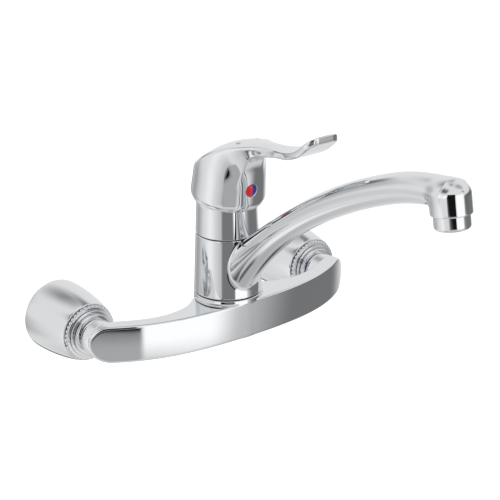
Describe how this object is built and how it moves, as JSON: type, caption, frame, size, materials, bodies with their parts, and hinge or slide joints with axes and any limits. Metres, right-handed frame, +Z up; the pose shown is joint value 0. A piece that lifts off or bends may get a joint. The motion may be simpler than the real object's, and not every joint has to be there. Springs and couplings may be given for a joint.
{
  "type": "wall-mounted kitchen faucet",
  "caption": "Wall-mounted single-lever kitchen faucet: bowed bridge between flanged inlets, swivelling arched spout with aerator, lever handle on a leaning hub.",
  "frame": {"origin": "midway between the inlet axes, on the wall's face", "axes": "+X along the wall from the hot to the cold inlet, +Z up, the faucet stands out towards -Y"},
  "size_m": [0.2554, 0.3146, 0.1868],
  "materials": {
    "polished_chrome": "polished chrome plate",
    "raw_brass": "machined",
    "sieve_steel": "stainless",
    "valve_ceramic": "lapped",
    "cartridge_plastic": "moulded",
    "aerator_plastic": "moulded",
    "glide_nylon": "moulded",
    "seal_rubber": "moulded",
    "washer_fibre": "cut sheet",
    "index_red": "gloss",
    "index_blue": "gloss"
  },
  "bodies": {
    "root": {"bridge_body": "polished_chrome", "lower_glide_ring": "glide_nylon", "upper_glide_ring": "glide_nylon", "lower_spout_seal": "seal_rubber", "upper_spout_seal": "seal_rubber", "bonnet_sleeve": "polished_chrome", "cartridge_nut": "raw_brass", "cartridge_housing": "cartridge_plastic", "cartridge_base": "cartridge_plastic", "hot_port_seal": "seal_rubber", "mixed_port_seal": "seal_rubber", "cold_port_seal": "seal_rubber", "fixed_disc": "valve_ceramic", "left_wall_flange": "polished_chrome", "left_supply_coupling": "raw_brass", "left_union_washer": "washer_fibre", "left_tailpiece": "polished_chrome", "left_inlet_strainer": "sieve_steel", "left_union_nut": "polished_chrome", "right_wall_flange": "polished_chrome", "right_supply_coupling": "raw_brass", "right_union_washer": "washer_fibre", "right_tailpiece": "polished_chrome", "right_inlet_strainer": "sieve_steel", "right_union_nut": "polished_chrome"},
    "spout": {"spout": "polished_chrome", "aerator_gasket": "seal_rubber", "aerator_shell": "polished_chrome", "aerator_screen": "sieve_steel", "aerator_spreader": "aerator_plastic"},
    "rotor": {"rotor": "cartridge_plastic", "stem_pin": "sieve_steel"},
    "disc": {"moving_disc": "valve_ceramic", "disc_carrier": "cartridge_plastic"},
    "lever": {"lever_stem": "raw_brass", "lever_handle": "polished_chrome", "handle_set_screw": "sieve_steel", "index_button_hot": "index_red", "index_button_cold": "index_blue"}
  },
  "joints": [
    {"name": "spout_swivel", "type": "hinge", "parent": "root", "child": "spout", "pos_m": [0, -0.0728, 0.04], "axis": [0, 0, 1], "range_deg": [-90, 90]},
    {"name": "temperature_turn", "type": "hinge", "parent": "root", "child": "rotor", "pos_m": [0, -0.0728, 0.0785], "axis": [0, 0, 1], "range_deg": [-45, 45]},
    {"name": "lever_lift", "type": "hinge", "parent": "rotor", "child": "lever", "pos_m": [0, -0.0728, 0.0785], "axis": [-1, 0, 0], "range_deg": [0, 25]},
    {"name": "disc_slide", "type": "slide", "parent": "rotor", "child": "disc", "axis": [0, -1, 0], "range_m": [0, 0.00417]}
  ],
  "couplings": [
    {"joint": "disc_slide", "follows": "lever_lift", "m_per_rad": 0.0095}
  ]
}
